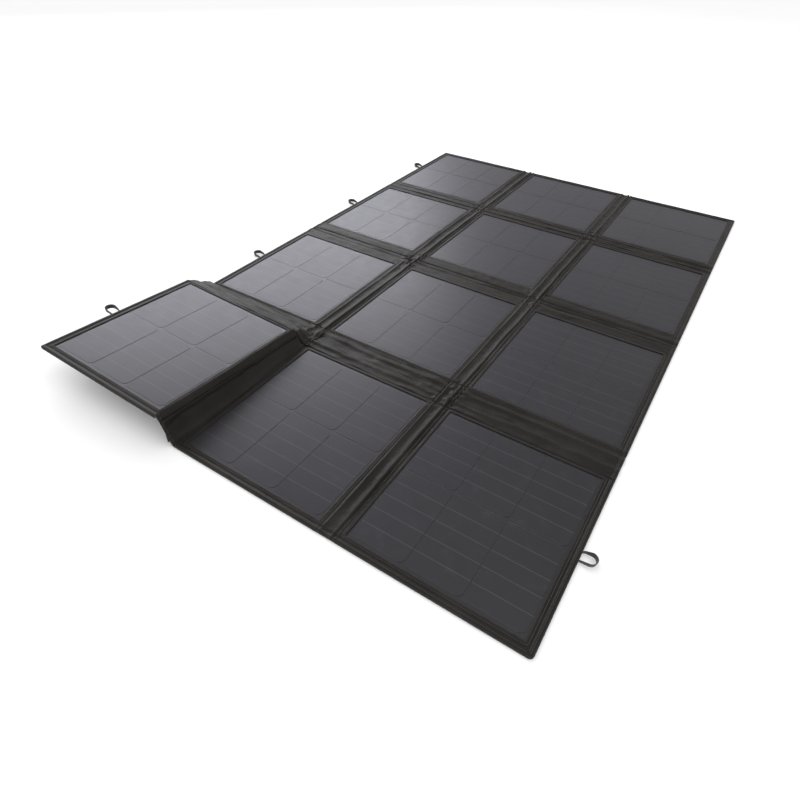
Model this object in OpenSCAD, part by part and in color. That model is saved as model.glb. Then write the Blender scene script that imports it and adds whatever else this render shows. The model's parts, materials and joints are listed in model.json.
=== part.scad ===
// Folding solar blanket: twelve rigid solar panels sewn into black canvas, three across and four deep.
// Frame: millimetres, +X across the blanket (left to right), +Y along it (front to back), +Z up.
// The origin is the centre of the bounding box on the ground. The front-left panel stands on its lead pouch.

/* [Solar cells] */
// Length of one cell along Y
cell_long = 157; // [120:1:180]
// Width of one cell along X
cell_wide = 94; // [60:1:120]
// Gap between neighbouring cells along X
cell_gap_x = 1.5; // [0.5:0.5:4]
// Gap between the two rows of cells
cell_gap_y = 3; // [1:0.5:6]
// Cut corner of a cell
cell_cut = 10; // [0:1:16]

/* [Windows in the canvas] */
// Window width along X
win_x = 293; // [250:1:340]
// Window length along Y
win_y = 329; // [280:1:380]
// Canvas border outside the outer windows
border = 18; // [10:1:40]
// Space between the windows of columns 1 and 2
gap_c12 = 54; // [40:1:80]
// Space between the windows of columns 2 and 3
gap_c23 = 50; // [40:1:80]
// Space between the windows of rows 1 and 2
gap_r12 = 86; // [76:1:110]
// Space between the windows of rows 2 and 3
gap_r23 = 90; // [60:1:110]
// Space between the windows of rows 3 and 4
gap_r34 = 66; // [50:1:90]

/* [Fold lines] */
// Free canvas between the two fold lines of rows 1 and 2
spine_1 = 72; // [70:1:76]
// Free canvas between the two fold lines of rows 2 and 3
spine_2 = 12; // [8:1:40]
// Free canvas between the two fold lines of rows 3 and 4
spine_3 = 25; // [25:1:40]
// Distance from a stiff edge to a fold line between rows
row_stop = 3.5; // [3:0.5:6]
// Distance from a stiff edge to a fold line between columns
col_stop = 1.5; // [1:0.5:3]
// How far the front edge of the strip behind the raised panel is cut back, so the panel clears it
relief = 13; // [10:1:20]
// Thickness of the free canvas
spine_t = 0.8; // [0.4:0.1:1.2]

/* [Layers] */
// Back canvas thickness
back_t = 0.8; // [0.4:0.1:1.2]
// Top of the stiff board
board_top = 2.5; // [2:0.1:3]
// Top of the laminated cells
cell_top = 2.9; // [2.6:0.1:3.2]
// Top of the front canvas
front_top = 4; // [3.6:0.1:4]
// How far the board runs under the canvas
board_lap = 2.5; // [1:0.5:3]
// Outer corner radius of the canvas
corner_r = 7; // [2:1:15]

/* [Raised panel] */
// Lift of the front-left panel
lift = 46; // [20:1:50]
// Tilt that raises its front edge
tilt_front = 4; // [0:0.5:6]
// Tilt that raises its left edge
tilt_left = 2.7; // [0:0.1:5]
// Shift along Y that lets it fold down square
lift_shift = 0.97; // [-4:0.01:4]

/* [Edge loops] */
// Height of the webbing
web_h = 9; // [6:1:20]
// Thickness of the webbing
web_t = 1.6; // [1:0.1:3]
// Width of a loop along the edge
loop_w = 22; // [16:1:40]
// Reach of a loop beyond the canvas
loop_out = 25; // [18:1:40]
// Shift of the front-left loop from the middle of its row
loop_shift = -18; // [-60:1:60]

/* [Lead pouch] */
// Pouch size along X
pouch_x = 180; // [120:5:240]
// Pouch size along Y
pouch_y = 200; // [150:5:280]
// Shift of the pouch from the panel's centre along X
pouch_dx = 10; // [-20:1:30]
// Shift of the pouch from the panel's centre along Y
pouch_dy = 30; // [-20:1:40]
// Radius of the lead outlet in the pouch
outlet_r = 6; // [4.5:0.5:10]
// Junction box size along X
box_x = 78; // [60:1:100]
// Junction box size along Y
box_y = 58; // [40:1:80]
// Junction box depth
box_h = 13; // [10:1:15]
// Bore of the lead gland
gland_r = 3.6; // [2.5:0.1:5]

/* [Hidden] */
total_x = 2 * border + 3 * win_x + gap_c12 + gap_c23;
total_y = 2 * border + 4 * win_y + gap_r12 + gap_r23 + gap_r34;
pitch_c12 = win_x + gap_c12;
pitch_c23 = win_x + gap_c23;
c1_x = -total_x / 2 + border + win_x / 2;
cols = [c1_x, c1_x + pitch_c12, c1_x + pitch_c12 + pitch_c23];
r1_y = -total_y / 2 + border + win_y / 2;
r2_y = r1_y + win_y + gap_r12;
r3_y = r2_y + win_y + gap_r23;
r4_y = r3_y + win_y + gap_r34;
rows = [r1_y, r2_y, r3_y, r4_y];
mid_z = front_top / 2;
// canvas beyond the window edge, left and right by column, front and back by row
ext_l = [border, gap_c12 / 2 - col_stop, gap_c23 / 2 - col_stop];
ext_r = [gap_c12 / 2 - col_stop, gap_c23 / 2 - col_stop, border];
ext_f = [border, (gap_r12 - spine_1) / 2 - row_stop, (gap_r23 - spine_2) / 2 - row_stop,
         (gap_r34 - spine_3) / 2 - row_stop];
ext_b = [(gap_r12 - spine_1) / 2 - row_stop, (gap_r23 - spine_2) / 2 - row_stop,
         (gap_r34 - spine_3) / 2 - row_stop, border];
spines = [spine_1, spine_2, spine_3];
gaps = [gap_r12, gap_r23, gap_r34];
canvas = [0.10, 0.09, 0.08];
canvas_back = [0.14, 0.13, 0.12];
webbing = [0.07, 0.07, 0.07];
laminate = [0.30, 0.30, 0.34];
housing = [0.06, 0.06, 0.07];
steel = [0.62, 0.63, 0.65];
$fn = 32;

// rectangle from its four sides, with rounded corners where asked: fl, bl, br, fr
module sheet(x0, x1, y0, y1, z0, z1, round) {
    translate([0, 0, z0]) linear_extrude(z1 - z0) difference() {
        translate([x0, y0]) square([x1 - x0, y1 - y0]);
        if (round[0]) corner_cut(x0, y0, 1, 1);
        if (round[1]) corner_cut(x0, y1, 1, -1);
        if (round[2]) corner_cut(x1, y1, -1, -1);
        if (round[3]) corner_cut(x1, y0, -1, 1);
    }
}

module corner_cut(x, y, sx, sy) {
    difference() {
        translate([x + sx * (corner_r / 2 - 0.5), y + sy * (corner_r / 2 - 0.5)])
            square(corner_r + 1, center = true);
        translate([x + sx * corner_r, y + sy * corner_r]) circle(corner_r);
    }
}

function rounding(r, c) = [r == 0 && c == 0, r == 3 && c == 0, r == 3 && c == 2, r == 0 && c == 2];

module place(r, c) {
    if (r == 0 && c == 0)
        translate([cols[0], rows[0] + lift_shift, mid_z + lift])
            rotate([-tilt_front, tilt_left, 0])
                translate([0, 0, -mid_z]) children();
    else translate([cols[c], rows[r], 0]) children();
}

module outline(r, c, z0, z1) {
    sheet(-win_x / 2 - ext_l[c], win_x / 2 + ext_r[c], -win_y / 2 - ext_f[r], win_y / 2 + ext_b[r],
          z0, z1, rounding(r, c));
}

module front_cover(r, c) {
    color(canvas) place(r, c) difference() {
        outline(r, c, back_t, front_top);
        translate([-win_x / 2, -win_y / 2, 0]) cube([win_x, win_y, front_top + 1]);
        translate([-win_x / 2 - board_lap - 0.1, -win_y / 2 - board_lap - 0.1, 0])
            cube([win_x + 2 * board_lap + 0.2, win_y + 2 * board_lap + 0.2, cell_top + 0.1]);
    }
}

module back_cover(r, c) {
    color(canvas_back) place(r, c) outline(r, c, 0, back_t);
}

// one cell, its two cut corners on the +X side
module cell() {
    a = cell_wide / 2;
    b = cell_long / 2;
    linear_extrude(cell_top - board_top + 0.2)
        polygon([[-a, -b], [a - cell_cut, -b], [a, -b + cell_cut], [a, b - cell_cut],
                 [a - cell_cut, b], [-a, b]]);
}

module solar_sheet(r, c) {
    turned = r == 1 && c == 2 ? 180 : 0;
    color(laminate) place(r, c) rotate([0, 0, turned]) union() {
        translate([-win_x / 2 - board_lap, -win_y / 2 - board_lap, back_t])
            cube([win_x + 2 * board_lap, win_y + 2 * board_lap, board_top - back_t]);
        for (i = [-1:1], j = [-0.5, 0.5])
            translate([i * (cell_wide + cell_gap_x), j * (cell_long + cell_gap_y), board_top - 0.2])
                cell();
    }
}

// free canvas between two fold lines, in the gap behind row s + 1
module strip(s, c) {
    y = rows[s] + win_y / 2 + gaps[s] / 2;
    color(canvas) translate([cols[c], y, 0])
        sheet(-win_x / 2 - ext_l[c], win_x / 2 + ext_r[c],
              -spines[s] / 2 + (s == 0 && c == 0 ? relief : 0.3), spines[s] / 2 - 0.3,
              mid_z - spine_t / 2, mid_z + spine_t / 2, [false, false, false, false]);
}

// webbing ring that stands on its edge, sewn to the canvas edge at x = 0, reaching towards -X
module web_ring() {
    r = loop_w / 2;
    flat = loop_out - r;
    linear_extrude(web_h) difference() {
        union() {
            translate([-flat, 0]) circle(r);
            translate([-flat, -r]) square([flat, loop_w]);
        }
        translate([-flat, 0]) circle(r - web_t);
        translate([-flat, -r + web_t]) square([flat - web_t, loop_w - 2 * web_t]);
    }
}

module loop_left(r) {
    color(webbing) place(r, 0) translate([-win_x / 2 - border, r == 0 ? loop_shift : 0, 0]) web_ring();
}

module loop_right(r) {
    color(webbing) place(r, 2) translate([win_x / 2 + border, 0, 0]) rotate([0, 0, 180]) web_ring();
}

// the soft pouch under the raised panel: its floor lies on the ground
module lead_pouch() {
    color(canvas_back) difference() {
        hull() {
            translate([cols[0] + pouch_dx - pouch_x / 2, rows[0] + pouch_dy - pouch_y / 2, 0])
                cube([pouch_x, pouch_y, 1]);
            place(0, 0) translate([pouch_dx - pouch_x / 2, pouch_dy - pouch_y / 2, -1])
                cube([pouch_x, pouch_y, 1]);
        }
        place(0, 0) translate([pouch_dx - pouch_x / 2 + 12, pouch_dy - pouch_y / 2 + 12, -box_h - 6])
            cube([pouch_x - 24, pouch_y - 24, box_h + 6]);
        box_place() translate([-pouch_x, 0, -box_h / 2 + 1]) rotate([0, 90, 0])
            cylinder(r = outlet_r, h = pouch_x - box_x / 2 - 2);
    }
}

// canvas wall from the right edge of the raised panel down to the ground
module side_gusset() {
    x = win_x / 2 + ext_r[0];
    color(canvas) hull() {
        place(0, 0) translate([x - 4, -win_y / 2 - border, -0.9])
            cube([3, win_y + border + ext_b[0], 0.8]);
        translate([cols[0] + x - 4, rows[0] - win_y / 2 - border, 0.6])
            cube([3, win_y + border + ext_b[0], 0.8]);
    }
}

// canvas wall from the rear edge of the raised panel down to the ground
module rear_gusset() {
    y = win_y / 2 + ext_b[0];
    x0 = win_x / 2 + border;
    x1 = win_x / 2 + ext_r[0] - 8;
    color(canvas) hull() {
        place(0, 0) translate([-x0, y - 3.5, -0.9]) cube([x0 + x1, 3, 0.8]);
        translate([cols[0] - x0 + 2, rows[0] + y - 3.5, 0.6]) cube([x0 + x1 - 2, 3, 0.8]);
    }
}

module box_place() {
    place(0, 0) translate([5, 40, -1]) children();
}

module junction_box() {
    color(housing) box_place() difference() {
        translate([-box_x / 2, -box_y / 2, -box_h + 2]) cube([box_x, box_y, box_h - 2.1]);
        translate([-box_x / 2 + 2, -box_y / 2 + 2, -box_h + 1])
            cube([box_x - 4, box_y - 4, box_h - 3]);
        translate([-box_x / 2 - 1, 0, -box_h / 2 + 1]) rotate([0, 90, 0]) cylinder(r = gland_r + 1.4, h = 4);
    }
}

module box_lid() {
    color(housing) box_place() difference() {
        translate([-box_x / 2, -box_y / 2, -box_h]) cube([box_x, box_y, 2]);
        for (i = [-1, 1], j = [-1, 1])
            translate([i * (box_x / 2 - 5), j * (box_y / 2 - 5), -box_h - 1]) cylinder(r = 1.6, h = 4);
    }
}

module lid_screws() {
    color(steel) box_place()
        for (i = [-1, 1], j = [-1, 1])
            translate([i * (box_x / 2 - 5), j * (box_y / 2 - 5), -box_h - 1.6]) {
                cylinder(r = 2.8, h = 1.6);
                cylinder(r = 1.5, h = 6);
            }
}

module lead_gland() {
    color(housing) box_place()
        translate([-box_x / 2, 0, -box_h / 2 + 1]) rotate([0, -90, 0]) difference() {
            union() {
                cylinder(r = 5.6, h = 14, $fn = 48);
                translate([0, 0, -2]) cylinder(r = gland_r + 1.3, h = 3, $fn = 48);
            }
            translate([0, 0, -3]) cylinder(r = gland_r, h = 20, $fn = 48);
        }
}

front_cover(0, 0);  // front_r1c1
front_cover(0, 1);  // front_r1c2
front_cover(0, 2);  // front_r1c3
front_cover(1, 0);  // front_r2c1
front_cover(1, 1);  // front_r2c2
front_cover(1, 2);  // front_r2c3
front_cover(2, 0);  // front_r3c1
front_cover(2, 1);  // front_r3c2
front_cover(2, 2);  // front_r3c3
front_cover(3, 0);  // front_r4c1
front_cover(3, 1);  // front_r4c2
front_cover(3, 2);  // front_r4c3
solar_sheet(0, 0);  // solar_r1c1
solar_sheet(0, 1);  // solar_r1c2
solar_sheet(0, 2);  // solar_r1c3
solar_sheet(1, 0);  // solar_r2c1
solar_sheet(1, 1);  // solar_r2c2
solar_sheet(1, 2);  // solar_r2c3
solar_sheet(2, 0);  // solar_r3c1
solar_sheet(2, 1);  // solar_r3c2
solar_sheet(2, 2);  // solar_r3c3
solar_sheet(3, 0);  // solar_r4c1
solar_sheet(3, 1);  // solar_r4c2
solar_sheet(3, 2);  // solar_r4c3
back_cover(0, 0);  // back_r1c1
back_cover(0, 1);  // back_r1c2
back_cover(0, 2);  // back_r1c3
back_cover(1, 0);  // back_r2c1
back_cover(1, 1);  // back_r2c2
back_cover(1, 2);  // back_r2c3
back_cover(2, 0);  // back_r3c1
back_cover(2, 1);  // back_r3c2
back_cover(2, 2);  // back_r3c3
back_cover(3, 0);  // back_r4c1
back_cover(3, 1);  // back_r4c2
back_cover(3, 2);  // back_r4c3
strip(0, 0);  // strip_s1c1
strip(0, 1);  // strip_s1c2
strip(0, 2);  // strip_s1c3
strip(1, 0);  // strip_s2c1
strip(1, 1);  // strip_s2c2
strip(1, 2);  // strip_s2c3
strip(2, 0);  // strip_s3c1
strip(2, 1);  // strip_s3c2
strip(2, 2);  // strip_s3c3
loop_left(0);  // loop_left_1
loop_left(1);  // loop_left_2
loop_left(2);  // loop_left_3
loop_left(3);  // loop_left_4
loop_right(0);  // loop_right_1
lead_pouch();
side_gusset();
rear_gusset();
junction_box();
box_lid();
lid_screws();
lead_gland();
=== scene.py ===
import json
import math
import bpy
import numpy as np
from mathutils import Matrix, Vector


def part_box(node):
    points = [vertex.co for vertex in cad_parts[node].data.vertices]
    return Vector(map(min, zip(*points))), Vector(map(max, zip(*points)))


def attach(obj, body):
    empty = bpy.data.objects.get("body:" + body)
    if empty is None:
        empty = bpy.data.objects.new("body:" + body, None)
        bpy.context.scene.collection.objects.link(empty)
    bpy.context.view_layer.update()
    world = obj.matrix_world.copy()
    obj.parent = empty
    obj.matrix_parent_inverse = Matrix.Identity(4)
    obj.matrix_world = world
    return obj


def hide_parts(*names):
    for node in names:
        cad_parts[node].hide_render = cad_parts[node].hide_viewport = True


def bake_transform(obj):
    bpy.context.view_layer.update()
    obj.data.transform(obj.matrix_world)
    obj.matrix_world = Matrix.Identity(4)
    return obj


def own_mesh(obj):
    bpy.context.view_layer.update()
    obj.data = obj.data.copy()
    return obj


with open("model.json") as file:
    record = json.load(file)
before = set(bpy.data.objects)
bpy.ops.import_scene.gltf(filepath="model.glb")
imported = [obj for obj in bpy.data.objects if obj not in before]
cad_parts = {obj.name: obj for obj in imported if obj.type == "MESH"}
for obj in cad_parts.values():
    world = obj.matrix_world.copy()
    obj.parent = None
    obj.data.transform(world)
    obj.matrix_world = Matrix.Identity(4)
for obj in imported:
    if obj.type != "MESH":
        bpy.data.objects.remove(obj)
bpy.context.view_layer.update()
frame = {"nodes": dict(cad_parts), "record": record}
MM = 0.001

# ---------------------------------------------------------------- sizes, from the frame
def span(node):
    lo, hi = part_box(node)
    return np.array(lo) / MM, np.array(hi) / MM

CELL_L, CELL_W, CELL_GX, CELL_GY, CUT = 157.0, 94.0, 1.5, 3.0, 10.0
WIN_X, WIN_Y, BORDER = 293.0, 329.0, 18.0
col_x = [float(np.mean([span(f"solar_r2c{c + 1}")[k][0] for k in (0, 1)])) for c in range(3)]
row_y = [float(np.mean([span(f"solar_r{r + 1}c2")[k][1] for k in (0, 1)])) for r in range(4)]
hinge = {j["name"]: np.array(j["pos_m"]) / MM for j in frame["record"]["behaviour"]["joints"]}
fold_x = [hinge["left_fold"][0], hinge["right_fold"][0]]
# lines between slices along Y: front edge, fold lines, back edge
SEAM = 0.3
fold_y = []
for s in (1, 2, 3):
    strip_low, strip_high = span(f"strip_s{s}c2")
    fold_y += [strip_low[1] - SEAM, strip_high[1] + SEAM]
edge_y = [row_y[0] - WIN_Y / 2 - BORDER, row_y[3] + WIN_Y / 2 + BORDER]
edge_x = [col_x[0] - WIN_X / 2 - BORDER, col_x[2] + WIN_X / 2 + BORDER]
ys = [edge_y[0]] + fold_y + [edge_y[1]]
LIFT, TILT_F, TILT_L, SHIFT = 46.0, 4.0, 2.7, 0.97
raised = (Matrix.Translation((col_x[0], row_y[0] + SHIFT, 2 + LIFT))
          @ Matrix.Rotation(math.radians(TILT_L), 4, "Y") @ Matrix.Rotation(math.radians(-TILT_F), 4, "X")
          @ Matrix.Translation((-col_x[0], -row_y[0], -2)))
RAISED = np.array(raised)


def lift_points(p):
    return p @ RAISED[:3, :3].T + RAISED[:3, 3]


# ---------------------------------------------------------------- smooth noise, seeded
def lattice(seed):
    return np.random.RandomState(seed).rand(256, 256)


def noise(x, y, size, seed):
    g = lattice(seed)
    u, v = np.asarray(x) / size + 500, np.asarray(y) / size + 500
    i, j = np.floor(u).astype(int), np.floor(v).astype(int)
    a, b = u - i, v - j
    a, b = a * a * (3 - 2 * a), b * b * (3 - 2 * b)
    at = lambda p, q: g[p % 256, q % 256]
    return ((at(i, j) * (1 - a) + at(i + 1, j) * a) * (1 - b)
            + (at(i, j + 1) * (1 - a) + at(i + 1, j + 1) * a) * b) * 2 - 1


def step(a, b, t):
    t = np.clip((t - a) / (b - a), 0, 1)
    return t * t * (3 - 2 * t)


def bump(t, mid, width):
    return np.exp(-((t - mid) / width) ** 2)


def window_distance(x, y):
    """Distance to the nearest window's edge: negative inside the window."""
    best = np.full(np.shape(x), 1e3)
    for cx in col_x:
        for cy in row_y:
            dx, dy = np.abs(x - cx) - WIN_X / 2, np.abs(y - cy) - WIN_Y / 2
            d = np.where((dx > 0) & (dy > 0), np.hypot(dx, dy), np.maximum(dx, dy))
            best = np.minimum(best, d)
    return best


def outer_distance(x, y):
    return np.minimum(np.minimum(x - edge_x[0], edge_x[1] - x), np.minimum(y - edge_y[0], edge_y[1] - y))


def top_height(x, y):
    """Height of the canvas above the ground in millimetres, for the blanket lying flat."""
    z = np.full(np.shape(x), 3.9) + 0.25 * noise(x, y, 31, 1) + 0.12 * noise(x, y, 9, 2)
    wd = window_distance(x, y)
    z += 0.4 * bump(wd, 2.4, 2.2) - 0.35 * bump(wd, 7.0, 1.6)
    # folds in the free canvas between columns
    for k, cx in enumerate(col_x[:2]):
        a, b = cx + WIN_X / 2, col_x[k + 1] - WIN_X / 2
        w = b - a
        t = (x - a) / w + 0.035 * noise(x, y, 90, 5 + k) * (1 - k * 0.3)
        inside = step(0.02, 0.1, (x - a) / w) * step(0.02, 0.1, (b - x) / w)
        ridge = (2.2 * bump(t, 0.24, 0.035) + 3.6 * bump(t, 0.66, 0.038) + 2.6 * bump(t, 0.82, 0.030)
                 - 1.8 * bump(t, 0.45, 0.13) - 2.4 * bump(t, 0.74, 0.026))
        z += inside * ridge * (0.75 + 0.35 * noise(x, y, 60, 9 + k))
        z += inside * 0.5 * noise(x * 1.4, y, 17, 12)
    # slack canvas between rows
    for k, cy in enumerate(row_y[:3]):
        a, b = cy + WIN_Y / 2, row_y[k + 1] - WIN_Y / 2
        t = (y - a) / (b - a)
        inside = step(0.03, 0.14, t) * step(0.03, 0.14, 1 - t)
        slack = [1.35, 0.55, 0.5][k]
        drift = 0.07 * noise(x, y, 120, 20 + k)
        fold = (2.6 * bump(t + drift, 0.32, 0.07) + 2.0 * bump(t - drift, 0.72, 0.06)
                - 1.6 * bump(t + drift, 0.52, 0.10) - 1.3 * bump(t - drift, 0.86, 0.04))
        z += inside * slack * fold * (0.7 + 0.4 * noise(x, y, 70, 30 + k))
        slit = bump(t + 0.5 * drift, 0.47, 0.022) * step(-0.25, 0.35, noise(x, y * 0.1, 85, 60 + k))
        z += inside * (slack * 1.0 * noise(x * 0.35, y, 11, 33 + k) - 3.0 * slack * slit)
        z += inside * 0.4 * noise(x, y, 14, 36)
    # bunched canvas where the folds cross
    for k, fx in enumerate(fold_x):
        for m in range(3):
            my = (row_y[m] + WIN_Y / 2 + row_y[m + 1] - WIN_Y / 2) / 2
            near = np.exp(-((x - fx) / 30) ** 2 - ((y - my) / 44) ** 2)
            free = step(2, 9, wd)
            z += near * free * (4.2 * np.abs(noise(x + 0.6 * y, y - 0.4 * x, 13, 40 + m + 3 * k)) - 1.1
                                + 2.0 * noise(x - y, x + y, 9, 50 + m))
    # rolled binding round the blanket
    od = outer_distance(x, y)
    z += 0.5 * bump(od, 4.2, 3.0) - 1.0 * bump(od, 9.5, 1.4) - 1.6 * bump(od, -0.6, 1.6)
    # every fold line is drawn down close to the hinge's height
    for fy in fold_y:
        z = np.minimum(z, 3.1 + 0.55 * np.abs(y - fy) + 0.05 * (y - fy) ** 2)
    return np.maximum(z, 1.3)


# ---------------------------------------------------------------- meshes
def axis_points(a, b, pitch, extra=()):
    n = max(2, int(round((b - a) / pitch)))
    pts = list(np.linspace(a, b, n + 1)) + [e for e in extra if a < e < b]
    pts = sorted(pts)
    keep = [pts[0]]
    for p in pts[1:]:
        if p - keep[-1] > 0.45:
            keep.append(p)
    keep[-1] = b
    return np.array(keep)


def make(name, verts, faces, smooth=True):
    me = bpy.data.meshes.new(name)
    me.from_pydata([tuple(v) for v in np.asarray(verts) * MM], [], faces)
    me.update()
    me.polygons.foreach_set("use_smooth", [smooth] * len(me.polygons))
    ob = bpy.data.objects.new(name, me)
    bpy.context.scene.collection.objects.link(ob)
    return ob


def add_uv(ob, label, co):
    """A UV map from one coordinate pair, in metres, for each vertex."""
    layer = ob.data.uv_layers.new(name=label)
    idx = np.empty(len(ob.data.loops), int)
    ob.data.loops.foreach_get("vertex_index", idx)
    layer.data.foreach_set("uv", (np.asarray(co)[idx] * MM).astype(np.float32).ravel())


def hem_coordinates(x, y):
    wd, od = window_distance(x, y), outer_distance(x, y)
    d = np.minimum(np.abs(wd), np.maximum(od, 0))
    along = np.where(np.minimum(np.abs(x - edge_x[0]), np.abs(x - edge_x[1])) < 12, y, x)
    for cx in col_x:
        side = (np.abs(np.abs(x - cx) - WIN_X / 2) < 14) & (od > 14)
        corner = np.zeros(np.shape(x), bool)
        for cy in row_y:
            corner |= np.abs(y - cy) < WIN_Y / 2 + 3
        along = np.where(side & corner, y, along)
    return np.stack([along, d], -1)


def canvas_patch(name, xs, yy, low, shape=None, hole=None, top=top_height, trim=()):
    """Closed canvas patch over a grid, its top from the height function and its bottom at low millimetres.
    shape moves the finished points, hole leaves out a window, trim is the list of rounded outer corners."""
    gx, gy = np.meshgrid(xs, yy, indexing="ij")
    nx, ny = gx.shape
    for cx, cy, sx, sy in trim:
        r = 7.0
        ox, oy = cx + sx * r, cy + sy * r
        inside = ((gx - ox) * sx < 0) & ((gy - oy) * sy < 0)
        dist = np.maximum(np.hypot(gx - ox, gy - oy), 1e-6)
        far = np.maximum(np.abs(gx - ox), np.abs(gy - oy))
        gx = np.where(inside, ox + (gx - ox) * far / dist, gx)
        gy = np.where(inside, oy + (gy - oy) * far / dist, gy)
    upper = np.stack([gx, gy, top(gx, gy)], -1).reshape(-1, 3)
    base = low(gx, gy) if callable(low) else np.full(gx.shape, float(low))
    lower = np.stack([gx, gy, np.minimum(base, top(gx, gy) - 0.5)], -1).reshape(-1, 3)
    flat_xy = np.concatenate([upper, lower])[:, :2]
    index = np.arange(nx * ny).reshape(nx, ny)
    keep = np.ones((nx - 1, ny - 1), bool)
    if hole is not None:
        mx, my = (xs[1:] + xs[:-1]) / 2, (yy[1:] + yy[:-1]) / 2
        x0, x1, y0, y1 = hole
        keep &= ~((mx[:, None] > x0) & (mx[:, None] < x1) & (my[None] > y0) & (my[None] < y1))
    faces, n = [], nx * ny
    for i in range(nx - 1):
        for j in range(ny - 1):
            if not keep[i, j]:
                continue
            a, b, c, d = index[i, j], index[i + 1, j], index[i + 1, j + 1], index[i, j + 1]
            faces += [(a, b, c, d), (a + n, d + n, c + n, b + n)]
            if i == 0 or not keep[i - 1, j]:
                faces.append((a, d, d + n, a + n))
            if i == nx - 2 or not keep[i + 1, j]:
                faces.append((b, b + n, c + n, c))
            if j == 0 or not keep[i, j - 1]:
                faces.append((a, a + n, b + n, b))
            if j == ny - 2 or not keep[i, j + 1]:
                faces.append((d, c, c + n, d + n))
    pts = np.concatenate([upper, lower])
    used = np.zeros(len(pts), bool)
    used[np.unique(np.array(faces))] = True
    remap = np.cumsum(used) - 1
    faces = [tuple(int(remap[v]) for v in f) for f in faces]
    pts, flat_xy = pts[used], flat_xy[used]
    if shape is not None:
        pts = shape(pts)
    ob = make(name, pts, faces)
    add_uv(ob, "cloth", flat_xy)
    add_uv(ob, "hem", hem_coordinates(flat_xy[:, 0], flat_xy[:, 1]))
    return ob


# ---------------------------------------------------------------- materials
class Nodes:
    """A short way to write a node tree."""

    def __init__(self, name):
        self.mat = bpy.data.materials.new(name)
        self.mat.use_nodes = True
        self.tree = self.mat.node_tree
        self.bsdf = self.tree.nodes["Principled BSDF"]

    def put(self, socket, value):
        if isinstance(value, bpy.types.NodeSocket):
            self.tree.links.new(value, socket)
        elif value is not None:
            is_colour = hasattr(socket.default_value, "__len__") and len(socket.default_value) == 4
            if is_colour and len(value) == 3:
                value = (*value, 1)
            socket.default_value = value

    def add(self, kind, out=0, settings=None, **inputs):
        n = self.tree.nodes.new(kind)
        for k, v in (settings or {}).items():
            setattr(n, k, v)
        for k, v in inputs.items():
            key = int(k[1:]) if k[0] == "i" and k[1:].isdigit() else k.replace("_", " ")
            self.put(n.inputs[key], v)
        return n.outputs[out]

    def math(self, op, a, b=0.0, c=0.0):
        return self.add("ShaderNodeMath", settings={"operation": op}, i0=a, i1=b, i2=c)

    def uv(self, name):
        return self.add("ShaderNodeUVMap", settings={"uv_map": name})

    def split(self, vec):
        n = self.tree.nodes.new("ShaderNodeSeparateXYZ")
        self.put(n.inputs[0], vec)
        return n.outputs[0], n.outputs[1]

    def noise(self, vec, scale, detail=3.0):
        return self.add("ShaderNodeTexNoise", Vector=vec, Scale=scale, Detail=detail)

    def mix(self, fac, a, b):
        n = self.tree.nodes.new("ShaderNodeMix")
        n.data_type = "RGBA"
        self.put(n.inputs[0], fac)
        self.put(n.inputs[6], a)
        self.put(n.inputs[7], b)
        return n.outputs[2]

    def ramp(self, value, low, high, to_low=0.0, to_high=1.0):
        return self.add("ShaderNodeMapRange", i0=value, i1=low, i2=high, i3=to_low, i4=to_high)

    def line(self, value, pitch, width, offset=0.0):
        """1 on lines of that width, repeated at that pitch."""
        t = self.math("FRACT", self.math("DIVIDE", self.math("ADD", value, offset + pitch * 1000.5), pitch))
        d = self.math("MULTIPLY", self.math("ABSOLUTE", self.math("SUBTRACT", t, 0.5)), pitch)
        return self.ramp(d, width * 0.5, width * 0.5 + 0.0002, 1.0, 0.0)

    def set(self, **inputs):
        for k, v in inputs.items():
            self.put(self.bsdf.inputs[k.replace("_", " ")], v)
        return self

    def relief(self, height, distance, strength=1.0, below=None):
        return self.add("ShaderNodeBump", Strength=strength, Distance=distance, Height=height, Normal=below)


def canvas_material(name, dark, pale, rough, stitched=True):
    m = Nodes(name)
    uv = m.uv("cloth")
    x, y = m.split(uv)
    cloud = m.noise(uv, 9.0, 5.0)
    fine = m.noise(uv, 700.0, 2.0)
    warp = m.line(x, 0.0011, 0.0005)
    weft = m.line(y, 0.0011, 0.0005)
    weave = m.math("MULTIPLY", m.math("ADD", warp, weft), 0.5)
    tone = m.math("ADD", m.math("MULTIPLY", cloud, 0.7), m.math("MULTIPLY", fine, 0.3))
    col = m.mix(m.ramp(tone, 0.35, 0.65), dark, pale)
    height = m.math("ADD", m.math("MULTIPLY", weave, 0.5), fine)
    normal = m.relief(height, 0.00025, 0.5)
    crease = m.noise(m.add("ShaderNodeMapping", Vector=uv, Scale=(1.0, 2.2, 1.0)), 55.0, 6.0)
    normal = m.relief(crease, 0.0022, 0.45, normal)
    if stitched:
        along, dist = m.split(m.uv("hem"))
        row = m.ramp(m.math("ABSOLUTE", m.math("SUBTRACT", dist, 0.0052)), 0.0004, 0.0007, 1.0, 0.0)
        dash = m.line(along, 0.0042, 0.0028)
        thread = m.math("MULTIPLY", row, dash)
        edge = m.ramp(dist, 0.0020, 0.0024, 1.0, 0.0)
        tick = m.math("MULTIPLY", edge, m.line(along, 0.0026, 0.0011))
        both = m.math("MAXIMUM", thread, m.math("MULTIPLY", tick, 0.7))
        wear = m.math("MULTIPLY", m.ramp(dist, 0.0, 0.006, 0.35, 0.0), cloud)
        col = m.mix(m.math("MULTIPLY", both, 0.55), col, (0.075, 0.068, 0.060))
        col = m.mix(wear, col, pale)
        normal = m.relief(both, 0.0006, 0.8, normal)
    m.set(Base_Color=col, Roughness=m.ramp(cloud, 0.3, 0.7, rough - 0.07, rough + 0.07), Normal=normal,
          Specular_IOR_Level=0.26)
    return m.mat


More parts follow.
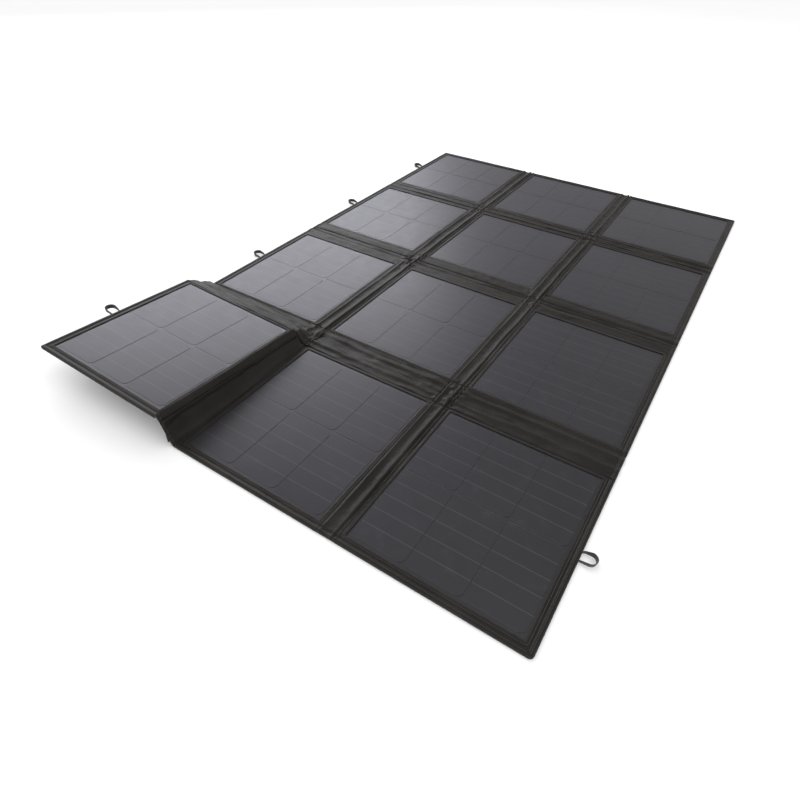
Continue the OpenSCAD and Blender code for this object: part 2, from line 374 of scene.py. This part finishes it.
def cell_material():
    m = Nodes("cell_glass")
    uv = m.uv("cell")
    y = m.split(uv)[1]
    pane = m.uv("pane")
    third = CELL_L * MM / 5
    ribbon = m.line(y, third, 0.0008, third / 2)
    finger = m.line(y, 0.0021, 0.0007)
    cloud = m.noise(pane, 3.2, 3.0)
    mottled = m.noise(pane, 38.0, 4.0)
    col = m.mix(m.ramp(cloud, 0.3, 0.7), (0.015, 0.0145, 0.0155), (0.022, 0.021, 0.022))
    col = m.mix(m.math("MULTIPLY", finger, 0.20), col, (0.040, 0.038, 0.040))
    col = m.mix(m.math("MULTIPLY", ribbon, 0.60), col, (0.085, 0.082, 0.082))
    emboss = m.noise(pane, 900.0, 2.0)
    dust = m.ramp(mottled, 0.60, 0.80, 0.0, 0.10)
    col = m.mix(dust, col, (0.12, 0.115, 0.11))
    waves = m.noise(pane, 14.0, 3.0)
    normal = m.relief(waves, 0.004, 0.10, m.relief(emboss, 0.0003, 0.35))
    m.set(Base_Color=col, Roughness=0.50, Specular_IOR_Level=0.35, Coat_Weight=0.85,
          Coat_Roughness=m.ramp(mottled, 0.3, 0.7, 0.33, 0.40), Coat_IOR=1.42, Normal=normal,
          Coat_Tint=(0.90, 0.89, 1.0))
    return m.mat


def board_material():
    m = Nodes("board_laminate")
    pane = m.uv("pane")
    fine = m.noise(pane, 600.0, 2.0)
    cloud = m.noise(pane, 12.0, 3.0)
    col = m.mix(cloud, (0.010, 0.010, 0.011), (0.022, 0.021, 0.022))
    m.set(Base_Color=col, Roughness=0.45, Coat_Weight=0.85, Coat_Roughness=0.37,
          Coat_IOR=1.42, Coat_Tint=(0.90, 0.89, 1.0),
          Normal=m.relief(fine, 0.0003, 0.3))
    return m.mat


def object_material(name, dark, pale, rough, scale, metal=0.0, depth=0.0003):
    """For solids without a UV map: grain from the object's own coordinates."""
    m = Nodes(name)
    at = m.add("ShaderNodeTexCoord", out=3)
    cloud, grain = m.noise(at, scale * 0.08, 4.0), m.noise(at, scale, 3.0)
    m.set(Base_Color=m.mix(m.ramp(cloud, 0.35, 0.65), dark, pale), Metallic=metal,
          Roughness=m.ramp(grain, 0.3, 0.7, rough - 0.08, rough + 0.08), Normal=m.relief(grain, depth, 0.5))
    return m.mat


def webbing_material():
    m = Nodes("webbing_weave")
    x, y = m.split(m.uv("band"))
    rib = m.line(x, 0.0016, 0.0008)
    side = m.line(y, 0.0024, 0.0006)
    fine = m.noise(m.uv("band"), 500.0, 2.0)
    col = m.mix(m.math("ADD", m.math("MULTIPLY", rib, 0.5), m.math("MULTIPLY", fine, 0.4)),
                (0.014, 0.013, 0.012), (0.050, 0.047, 0.044))
    weave = m.relief(m.math("ADD", rib, side), 0.0005, 0.7)
    m.set(Base_Color=col, Roughness=0.62, Normal=weave, Sheen_Weight=0.2)
    return m.mat


CANVAS = canvas_material("canvas_front", (0.0095, 0.0080, 0.0066), (0.021, 0.0178, 0.0150), 0.44)
CANVAS_BACK = canvas_material("canvas_rear", (0.015, 0.0138, 0.0125), (0.028, 0.026, 0.0235), 0.60)
CELL = cell_material()
BOARD = board_material()
WEB = webbing_material()
PLASTIC = object_material("box_plastic", (0.010, 0.010, 0.011), (0.018, 0.018, 0.019), 0.42, 900.0)
STEEL = object_material("screw_steel", (0.42, 0.43, 0.45), (0.60, 0.61, 0.62), 0.32, 700.0, 1.0, 0.0001)


def dress(ob, *mats):
    ob.data.materials.clear()
    for m in mats:
        ob.data.materials.append(m)
    return ob


# ---------------------------------------------------------------- solar panes
def solar_pane(r, c):
    """Board with six cut-cornered cells, as one mesh: the board first, then the cells."""
    turned = -1.0 if (r, c) == (1, 2) else 1.0
    cx, cy = col_x[c], row_y[r]
    lap = 2.4
    hx, hy = WIN_X / 2 + lap, WIN_Y / 2 + lap
    verts, faces, cell_uv = [], [], []

    def ring_stack(outline, levels, uvs):
        base, n = len(verts), len(outline)
        for inset, z in levels:
            for (px, py), (ux, uy) in zip(outline, uvs):
                ln = math.hypot(px - mid[0], py - mid[1])
                k = 1 - inset / ln
                verts.append((mid[0] + (px - mid[0]) * k, mid[1] + (py - mid[1]) * k, z))
                cell_uv.append((ux * k, uy * k))
        for s in range(len(levels) - 1):
            for i in range(n):
                j = (i + 1) % n
                lo_ring, hi_ring = base + s * n, base + (s + 1) * n
                faces.append((lo_ring + i, lo_ring + j, hi_ring + j, hi_ring + i))
        faces.append(tuple(base + (len(levels) - 1) * n + i for i in range(n)))
        faces.append(tuple(base + n - 1 - i for i in range(n)))

    mid = (0.0, 0.0)
    box = [(-hx, -hy), (hx, -hy), (hx, hy), (-hx, hy)]
    ring_stack(box, [(0, 0.85), (0, 2.3), (0.25, 2.5)], box)
    count = len(faces)
    for i in (-1, 0, 1):
        for j in (-0.5, 0.5):
            mx, my = i * (CELL_W + CELL_GX), j * (CELL_L + CELL_GY)
            a, b = CELL_W / 2, CELL_L / 2
            out = [(-a, -b), (a - CUT, -b)]
            out += [(a - CUT + CUT * math.sin(t), -b + CUT * (1 - math.cos(t)))
                    for t in np.radians([20, 40, 60, 75])]
            out += [(a, -b + CUT), (a, b - CUT)]
            out += [(a - CUT * (1 - math.cos(t)), b - CUT + CUT * math.sin(t))
                    for t in np.radians([15, 30, 50, 70])]
            out += [(a - CUT, b), (-a, b)]
            mid = (mx, my)
            ring_stack([(mx + px, my + py) for px, py in out], [(0, 2.45), (0, 2.8), (0.22, 2.9)], out)
    pts = np.array(verts)
    pts[:, 0] *= turned
    pts[:, 1] *= turned
    pane = pts[:, :2] + [cx, cy]
    pts[:, 0] += cx
    pts[:, 1] += cy
    if (r, c) == (0, 0):
        pts = lift_points(pts)
    ob = make(f"pane_r{r + 1}c{c + 1}", pts, faces, smooth=False)
    add_uv(ob, "cell", cell_uv)
    add_uv(ob, "pane", pane)
    dress(ob, BOARD, CELL)
    ob.data.polygons.foreach_set("material_index", [0] * count + [1] * (len(faces) - count))
    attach(ob, f"panel_r{r + 1}c{c + 1}")
    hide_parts(f"solar_r{r + 1}c{c + 1}")
    return ob


# ---------------------------------------------------------------- canvas round the panes
FLAP = 8.0  # canvas that stays with the stiff pane beyond its window


def panel_x(c):
    lo = edge_x[0] if c == 0 else col_x[c] - WIN_X / 2 - FLAP
    hi = edge_x[1] if c == 2 else col_x[c] + WIN_X / 2 + FLAP
    return lo, hi


def near_edge(lo, hi, at):
    """Closer grid lines beside an edge at that coordinate."""
    return [at + d for d in (-9.5, -7, -5, -3.2, -1.6, -0.6, 0, 0.6, 1.6, 3.2, 5, 7, 9.5) if lo < at + d < hi]


def back_top(x, y):
    od = outer_distance(x, y)
    z = 0.75 + 0.10 * noise(x, y, 40, 70) + 0.05 * noise(x, y, 12, 71) - 0.3 * bump(od, 0, 2)
    for fy in fold_y:
        z = np.maximum(z, 1.9 - 0.5 * np.abs(y - fy))
    return z


def canvas_panel(r, c):
    name = f"r{r + 1}c{c + 1}"
    x0, x1 = panel_x(c)
    y0, y1 = ys[2 * r], ys[2 * r + 1]
    wx = (col_x[c] - WIN_X / 2, col_x[c] + WIN_X / 2)
    wy = (row_y[r] - WIN_Y / 2, row_y[r] + WIN_Y / 2)
    xs = axis_points(x0, x1, 6.0, near_edge(x0, x1, wx[0]) + near_edge(x0, x1, wx[1])
                     + near_edge(x0, x1, edge_x[0] + 4) + near_edge(x0, x1, edge_x[1] - 4))
    yy = axis_points(y0, y1, 6.0, near_edge(y0, y1, wy[0]) + near_edge(y0, y1, wy[1])
                     + near_edge(y0, y1, edge_y[0] + 4) + near_edge(y0, y1, edge_y[1] - 4))
    xs = xs[np.all([np.abs(xs - w) > 0.3 for w in wx], axis=0)]
    xs = np.sort(np.concatenate([xs, wx]))
    yy = yy[np.all([np.abs(yy - w) > 0.3 for w in wy], axis=0)]
    yy = np.sort(np.concatenate([yy, wy]))
    shape = lift_points if (r, c) == (0, 0) else None
    trim = []
    if c == 0 and r == 0: trim.append((edge_x[0], edge_y[0], 1, 1))
    if c == 0 and r == 3: trim.append((edge_x[0], edge_y[1], 1, -1))
    if c == 2 and r == 3: trim.append((edge_x[1], edge_y[1], -1, -1))
    if c == 2 and r == 0: trim.append((edge_x[1], edge_y[0], -1, 1))
    low = lambda x, y: np.where(window_distance(x, y) < 2.6, 3.05, 0.95)
    front = canvas_patch("canvas_" + name, xs, yy, low, shape, (wx[0], wx[1], wy[0], wy[1]), trim=trim)
    dress(front, CANVAS)
    xb = axis_points(x0, x1, 16.0, near_edge(x0, x1, edge_x[0] + 4) + near_edge(x0, x1, edge_x[1] - 4))
    yb = axis_points(y0, y1, 16.0, [y0 + 2, y1 - 2])
    rear = canvas_patch("lining_" + name, xb, yb, 0.05, shape, None, back_top, trim)
    dress(rear, CANVAS_BACK)
    for ob, node, slot in ((front, "front_", "canvas"), (rear, "back_", "canvas_back")):
        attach(ob, "panel_" + name)
        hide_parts(node + name)
    return front, rear


def drop(points):
    """From the raised panel's right edge down to the next panel, in a rounded welt and a wall."""
    x0, x1 = col_x[0] + WIN_X / 2 + FLAP, col_x[1] - WIN_X / 2 - FLAP
    t = (points[:, 0] - x0) / (x1 - x0)
    w = 1 - step(0.16, 0.82, t)
    up = lift_points(points)
    out = up * w[:, None] + points * (1 - w[:, None])
    ripple = noise(points[:, 0], points[:, 1], 50, 77)
    out[:, 2] += 5.5 * bump(t, 0.12, 0.085) + 1.5 * bump(t, 0.5, 0.12) * ripple
    return out


def column_gap(slice_, g):
    """Free canvas across a column fold line, for one slice of the blanket."""
    x0, x1 = col_x[g] + WIN_X / 2 + FLAP, col_x[g + 1] - WIN_X / 2 - FLAP
    y0, y1 = ys[slice_], ys[slice_ + 1]
    row = slice_ // 2
    tag = f"{'r' if slice_ % 2 == 0 else 's'}{row + 1}"
    xs = axis_points(x0, x1, 1.5)
    yy = axis_points(y0, y1, 3.5, near_edge(y0, y1, edge_y[0] + 4) + near_edge(y0, y1, edge_y[1] - 4))
    raised_one = slice_ == 0 and g == 0
    low = lambda x, y: np.full(np.shape(x), 0.3)
    ob = canvas_patch(f"crease_{tag}_{g + 1}", xs, yy, low, drop if raised_one else None)
    dress(ob, CANVAS)
    if g == 0:
        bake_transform(ob)
    else:
        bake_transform(ob)
    return ob


def row_strip(s, c):
    x0, x1 = panel_x(c)
    y0, y1 = ys[2 * s + 1], ys[2 * s + 2]
    xs = axis_points(x0, x1, 4.0, near_edge(x0, x1, edge_x[0] + 4) + near_edge(x0, x1, edge_x[1] - 4))
    yy = axis_points(y0, y1, 1.6 if s == 0 else 1.2)
    ob = canvas_patch(f"slack_s{s + 1}c{c + 1}", xs, yy, 0.6)
    dress(ob, CANVAS)
    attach(ob, f"fold_s{s + 1}c{c + 1}")
    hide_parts(f"strip_s{s + 1}c{c + 1}")
    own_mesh(ob)
    return ob


def ramp_piece():
    """Canvas that runs from the raised panel's rear edge down to the row behind it."""
    x0, x1 = edge_x[0] + 1, col_x[1] - WIN_X / 2 - FLAP
    y0, y1 = ys[1], ys[2]
    gap0 = col_x[0] + WIN_X / 2 + FLAP
    xs, yy = axis_points(x0, x1, 3.0), axis_points(y0 - 0.4, y1 - 3, 1.8)
    gx, gy = np.meshgrid(xs, yy, indexing="ij")
    nx, ny = gx.shape
    t = np.clip((y1 - gy) / (y1 - y0), 0, 1)
    base = top_height(gx, np.maximum(gy, y0 + 3)) + 0.6
    rear_edge = np.stack([gx.ravel(), np.full(gx.size, y0), np.full(gx.size, 3.4)], -1)
    edge = lift_points(rear_edge).reshape(nx, ny, 3)
    share = 1 - step(0.16, 0.82, (gx - gap0) / (x1 - gap0))
    rise = (edge[..., 2] - 3.4) * share
    curve = t ** (1.0 + 0.7 * step(10, 90, gx - edge_x[0]))
    fold = 2.4 * bump(t + 0.05 * noise(gx, gy, 90, 81), 0.35, 0.08) + 1.8 * bump(t, 0.62, 0.06)
    crumple = 1.8 * np.abs(noise(gx + gy, gy, 9, 82)) * np.exp(-((gx - edge_x[0] - 45) / 45) ** 2)
    z = base + rise * curve + (fold + crumple) * (1 - t) * t * 3
    px = gx + (edge[..., 0] - gx) * curve * share
    top = np.stack([px, gy, z], -1).reshape(-1, 3)
    low = top - [0, 0, 0.8]
    idx, n = np.arange(nx * ny).reshape(nx, ny), nx * ny
    faces = []
    for i in range(nx - 1):
        for j in range(ny - 1):
            a, b, c, d = idx[i, j], idx[i + 1, j], idx[i + 1, j + 1], idx[i, j + 1]
            faces += [(a, b, c, d), (a + n, d + n, c + n, b + n)]
            if i == 0: faces.append((a, d, d + n, a + n))
            if i == nx - 2: faces.append((b, b + n, c + n, c))
            if j == 0: faces.append((a, a + n, b + n, b))
            if j == ny - 2: faces.append((d, c, c + n, d + n))
    faces = [tuple(int(v) for v in f) for f in faces]
    ob = make("ramp_s1", np.concatenate([top, low]), faces)
    flat_xy = np.concatenate([np.stack([gx, gy], -1).reshape(-1, 2)] * 2)
    add_uv(ob, "cloth", flat_xy)
    add_uv(ob, "hem", np.stack([flat_xy[:, 0], np.full(len(flat_xy), 40.0)], -1))
    dress(ob, CANVAS)
    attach(ob, "fold_s1c1")
    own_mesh(ob)
    return ob


def gusset(name, node, ends, low_z):
    """Hanging canvas wall under one edge of the raised panel: ends are its two lower corners in plan."""
    (ax, ay), (bx, by) = ends
    n, m = 90, 14
    verts = []
    for side in (0, 1):
        for i in range(n):
            u = i / (n - 1)
            x, y = ax + (bx - ax) * u, ay + (by - ay) * u
            hi = lift_points(np.array([[x, y, -0.15]]))[0]
            for k in range(m):
                v = k / (m - 1)
                wave = 0.7 * math.sin(u * 40) * math.sin(math.pi * v)
                wave += 0.6 * float(noise(u * 300, v * 60, 25, 91)) * v * (1 - v) * 4
                p = hi * (1 - v) + np.array([x, y, low_z]) * v
                nx_, ny_ = (by - ay), -(bx - ax)
                ln = math.hypot(nx_, ny_)
                off = wave + (0.35 if side else -0.35)
                verts.append((p[0] + nx_ / ln * off, p[1] + ny_ / ln * off, p[2]))
    faces, half = [], n * m
    for i in range(n - 1):
        for k in range(m - 1):
            a, b, c, d = i * m + k, (i + 1) * m + k, (i + 1) * m + k + 1, i * m + k + 1
            faces += [(a, b, c, d), (a + half, d + half, c + half, b + half)]
            if k == 0: faces.append((a, a + half, b + half, b))
            if k == m - 2: faces.append((d, c, c + half, d + half))
            if i == 0: faces.append((a, d, d + half, a + half))
            if i == n - 2: faces.append((b, b + half, c + half, c))
    ob = make(name, verts, faces)
    pts = np.array(verts)
    uv = np.stack([pts[:, 0] + pts[:, 1], pts[:, 2]], -1)
    add_uv(ob, "cloth", uv)
    add_uv(ob, "hem", np.stack([uv[:, 0], np.full(len(uv), 40.0)], -1))
    dress(ob, CANVAS)
    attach(ob, "panel_r1c1")
    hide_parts(node)
    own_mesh(ob)
    return ob


def lead_pouch():
    """Soft bag between the raised panel and the ground, its sides bulged and its corners round."""
    lo, hi = span("lead_pouch")
    cx, cy = (lo[0] + hi[0]) / 2, (lo[1] + hi[1]) / 2
    hx, hy = (hi[0] - lo[0]) / 2 - 3, (hi[1] - lo[1]) / 2 - 3
    n, m = 120, 18
    verts, uv = [], []
    for k in range(m):
        v = k / (m - 1)
        swell = 1 - 0.10 * (abs(v - 0.45) / 0.55) ** 3
        for i in range(n):
            a = 2 * math.pi * i / n
            ca, sa = math.cos(a), math.sin(a)
            e = 0.28
            x = math.copysign(abs(ca) ** e, ca) * hx * swell
            y = math.copysign(abs(sa) ** e, sa) * hy * swell
            w = 1.2 * float(noise(i * 4.0, v * 70, 22, 95))
            x, y = x * (1 + w / hx), y * (1 + w / hy)
            top = lift_points(np.array([[cx + x, cy + y, -0.3]]))[0]
            verts.append((cx + x, cy + y, 0.15 + (top[2] - 0.15) * v))
            uv.append((i * 6.0, v * 50))
    faces = [(k * n + i, k * n + (i + 1) % n, (k + 1) * n + (i + 1) % n, (k + 1) * n + i)
             for k in range(m - 1) for i in range(n)]
    faces += [tuple(range(n - 1, -1, -1)), tuple((m - 1) * n + i for i in range(n))]
    ob = make("pouch", verts, faces)
    add_uv(ob, "cloth", uv)
    add_uv(ob, "hem", np.stack([np.array(uv)[:, 0], np.full(len(uv), 40.0)], -1))
    dress(ob, CANVAS_BACK)
    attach(ob, "panel_r1c1")
    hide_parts("lead_pouch")
    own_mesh(ob)
    return ob


def web_loop(name, node, body, centre_y, side):
    """Webbing ring that stands on its edge, with its two tails sewn under the binding."""
    x_edge = edge_x[0] if side < 0 else edge_x[1]
    path = []
    reach, half = 24.0, 10.2
    for t in np.linspace(0, 1, 46):
        a = math.pi * (t - 0.5)
        px = reach - half + half * math.cos(a) if 0 < t < 1 else 0
        path.append((max(px, 0), half * math.sin(a)))
    path = [(-6.0, -half + 3.5), (-2.0, -half + 2.0), (4.0, -half + 0.6)] + path[1:-1] + \
           [(4.0, half - 0.6), (-2.0, half - 2.0), (-6.0, half - 3.5)]
    pts = np.array(path)
    tang = np.gradient(pts, axis=0)
    nrm = np.stack([tang[:, 1], -tang[:, 0]], -1) / np.hypot(*tang.T)[:, None]
    length = np.concatenate([[0], np.cumsum(np.hypot(*np.diff(pts, axis=0).T))])
    verts, uv = [], []
    for (px, py), (nx_, ny_), s in zip(pts, nrm, length):
        far = max(px, 0) / reach
        up = 0.4 + 0.9 * far * (1 if side < 0 else 0.6)
        height = 2.8 + 5.4 * min(1, max(px, 0) / 8.0)
        lean = 1.4 * far
        for q in (-1, 1):
            for h in (0, 0.08, 0.5, 0.92, 1):
                thick = 0.75 * (1 if 0 < h < 1 else 0.55)
                z = up + h * height
                off = q * thick + lean * (h - 0.5)
                verts.append((x_edge + side * (px + nx_ * off), centre_y + py + ny_ * off, z))
                uv.append((s, h * 12))
    ring = [0, 1, 2, 3, 4, 9, 8, 7, 6, 5]
    faces = []
    for i in range(len(pts) - 1):
        for k in range(10):
            a, b = ring[k], ring[(k + 1) % 10]
            faces.append((i * 10 + a, i * 10 + b, (i + 1) * 10 + b, (i + 1) * 10 + a))
    faces.append(tuple(reversed(ring)))
    faces.append(tuple((len(pts) - 1) * 10 + k for k in ring))
    pts3 = np.array(verts)
    if body == "panel_r1c1":
        pts3 = lift_points(pts3)
    ob = make(name, pts3, faces)
    add_uv(ob, "band", uv)
    dress(ob, WEB)
    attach(ob, body)
    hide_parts(node)
    up = RAISED[:3, :3] @ np.array([0, 0, 1.0]) if body == "panel_r1c1" else np.array([0, 0, 1.0])
    base = np.array([x_edge, centre_y, 0.5])
    if body == "panel_r1c1":
        base = lift_points(base[None])[0]
    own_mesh(ob)
    return ob


for r in range(4):
    for c in range(3):
        solar_pane(r, c)
        canvas_panel(r, c)
for s in range(3):
    for c in range(3):
        row_strip(s, c)
for k in range(7):
    for g in range(2):
        column_gap(k, g)
ramp_piece()
gx_side = col_x[0] + WIN_X / 2 + 23.0
gusset("wall_side", "side_gusset", ((gx_side, ys[0] + 2), (gx_side, ys[1] - 5)), 0.7)
gusset("wall_rear", "rear_gusset", ((edge_x[0] + 3, ys[1] - 5.5), (gx_side - 5, ys[1] - 5.5)), 0.7)
lead_pouch()
for r in range(4):
    web_loop(f"tie_loop_left_{r + 1}", f"loop_left_{r + 1}", f"panel_r{r + 1}c1",
             row_y[r] - (18.0 if r == 0 else 0.0), -1)
web_loop("tie_loop_right_1", "loop_right_1", "panel_r1c3", row_y[0], 1)
for node in ("junction_box", "box_lid", "lead_gland"):
    dress(frame["nodes"][node], PLASTIC)
dress(frame["nodes"]["lid_screws"], STEEL)

# ---------------------------------------------------------------- camera
PITCH, ROLL, YAW = 42.02, 1.856, -31.46
CAMERA_AT = (0.519, -1.157, 0.723)
LENS = 25.23
cp, sp = math.cos(math.radians(PITCH)), math.sin(math.radians(PITCH))
cr, sr = math.cos(math.radians(ROLL)), math.sin(math.radians(ROLL))
cy_, sy_ = math.cos(math.radians(YAW)), math.sin(math.radians(YAW))
turn = (np.array([[cr, -sr, 0], [sr, cr, 0], [0, 0, 1]]) @ np.array([[1, 0, 0], [0, -sp, -cp], [0, cp, -sp]])
        @ np.array([[cy_, -sy_, 0], [sy_, cy_, 0], [0, 0, 1]]))
cam = bpy.data.cameras.new("camera")
cam.lens, cam.sensor_width, cam.clip_start, cam.clip_end = LENS, 36.0, 0.02, 60.0
camera = bpy.data.objects.new("camera", cam)
bpy.context.scene.collection.objects.link(camera)
world_from_cam = Matrix.Identity(4)
for i in range(3):
    world_from_cam[i][0], world_from_cam[i][1], world_from_cam[i][2] = turn[0][i], -turn[1][i], -turn[2][i]
    world_from_cam[i][3] = CAMERA_AT[i]
camera.matrix_world = world_from_cam
bpy.context.scene.camera = camera

# ---------------------------------------------------------------- floor and light
bpy.ops.mesh.primitive_plane_add(size=40, location=(0, 0, -0.0006))
floor = bpy.context.object
floor.name = "floor"
fm = Nodes("floor_white")
patches = fm.noise(fm.add("ShaderNodeTexCoord", out=3), 1.5, 2.0)
fm.set(Base_Color=fm.mix(patches, (0.90, 0.90, 0.90), (0.93, 0.93, 0.93)), Roughness=0.9,
       Specular_IOR_Level=0.1)
dress(floor, fm.mat)

world = bpy.data.worlds.new("studio")
bpy.context.scene.world = world
world.use_nodes = True
sky = world.node_tree
path = sky.nodes.new("ShaderNodeLightPath")
at = sky.nodes.new("ShaderNodeTexCoord")
height = sky.nodes.new("ShaderNodeSeparateXYZ")
sky.links.new(at.outputs["Generated"], height.inputs[0])
dome = sky.nodes.new("ShaderNodeMapRange")
sky.links.new(height.outputs[2], dome.inputs[0])
# glossy rays see a dome that fades from its low part to its top: height from, to, strength from, to
for k, v in ((1, 0.20), (2, 0.75), (3, 0.58), (4, 0.20)):
    dome.inputs[k].default_value = v
strength = sky.nodes.new("ShaderNodeMapRange")
sky.links.new(path.outputs["Is Glossy Ray"], strength.inputs[0])
sky.links.new(dome.outputs[0], strength.inputs[4])
strength.inputs[3].default_value = 1.06
sky.links.new(strength.outputs[0], sky.nodes["Background"].inputs[1])
sky.nodes["Background"].inputs[0].default_value = (1, 1, 1, 1)


def area(name, at, to, size, power, tint=(1, 1, 1)):
    light = bpy.data.lights.new(name, "AREA")
    light.shape = "RECTANGLE"
    light.size, light.size_y = size
    light.energy, light.color = power, tint
    ob = bpy.data.objects.new(name, light)
    bpy.context.scene.collection.objects.link(ob)
    ob.location = at
    ob.rotation_euler = (Vector(to) - Vector(at)).to_track_quat("-Z", "Y").to_euler()
    return ob


area("soft_back_left", (-2.9, 1.9, 1.8), (-0.5, 0.0, 0), (3.4, 1.5), 66, (0.95, 0.96, 1.0))
area("overhead", (0.9, -0.2, 3.2), (0, 0, 0), (2.4, 2.4), 12)
scene = bpy.context.scene
scene.view_settings.view_transform = "Standard"
scene.view_settings.look = "None"
scene.view_settings.exposure = 0.0

bpy.context.view_layer.update()
